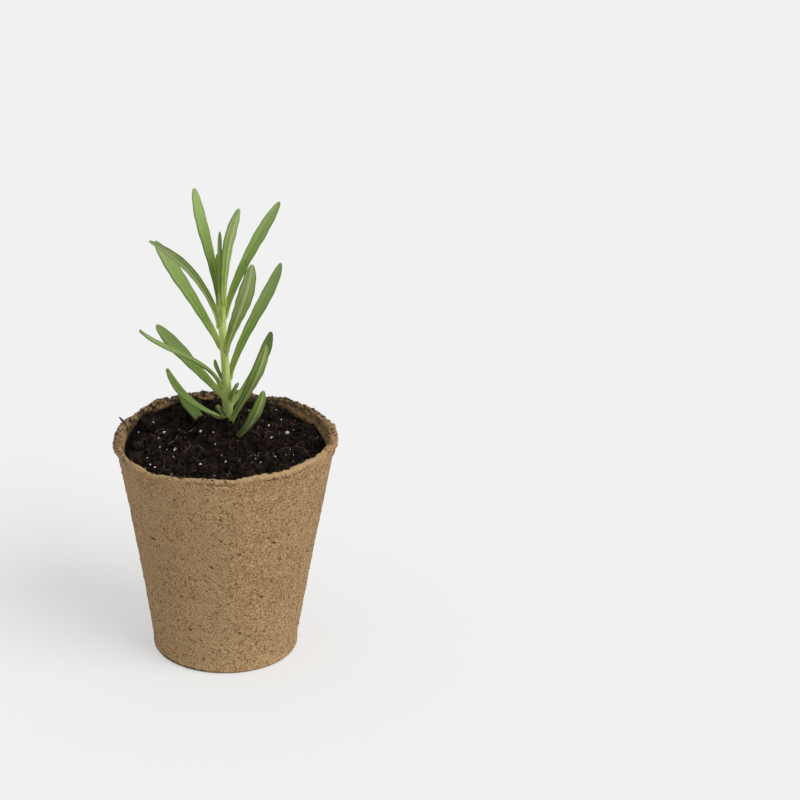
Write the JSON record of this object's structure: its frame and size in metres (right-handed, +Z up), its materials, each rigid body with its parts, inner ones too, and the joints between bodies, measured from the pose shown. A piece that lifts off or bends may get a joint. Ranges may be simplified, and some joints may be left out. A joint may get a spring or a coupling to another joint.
{
  "type": "peat pot",
  "caption": "Round tapered pot of moulded peat fibre with an out-turned torn lip, filled with compost and planted with a young narrow-leaved seedling.",
  "frame": {"origin": "centre of the pot's foot, on the surface that it stands on", "axes": "+Z up along the pot's axis, -Y towards the viewer of the picture, +X to the viewer's right"},
  "size_m": [0.08, 0.08, 0.1686],
  "materials": {
    "peat_fibre": "matte, fibrous, fine mesh imprint",
    "compost": "damp crumbs",
    "perlite": "matte",
    "stem": "satin, downy",
    "leaf": "satin, downy",
    "root": "matte"
  },
  "bodies": {
    "pot": {"pot_shell": "peat_fibre"},
    "root_ball": {"compost": "compost", "perlite_grains": "perlite", "stem": "stem", "main_root": "root", "side_roots": "root", "bud_leaf_front": "leaf", "bud_leaf_back": "leaf", "leaf_top_left": "leaf", "leaf_top_middle": "leaf", "leaf_upper_right": "leaf", "leaf_upper_left": "leaf", "leaf_middle_left": "leaf", "leaf_middle_right": "leaf", "leaf_lower_right": "leaf", "leaf_lower_left_front": "leaf", "leaf_lower_left_back": "leaf", "leaf_low_right_back": "leaf", "leaf_low_right_front": "leaf", "leaf_low_left_front": "leaf", "leaf_ground_left": "leaf", "leaf_ground_right": "leaf", "side_shoot_left": "leaf", "side_shoot_right": "leaf", "side_shoot_base": "leaf"}
  },
  "joints": [
    {"name": "root_ball_lift", "type": "slide", "parent": "pot", "child": "root_ball", "axis": [0, 0, 1], "range_m": [0, 0.09]}
  ]
}
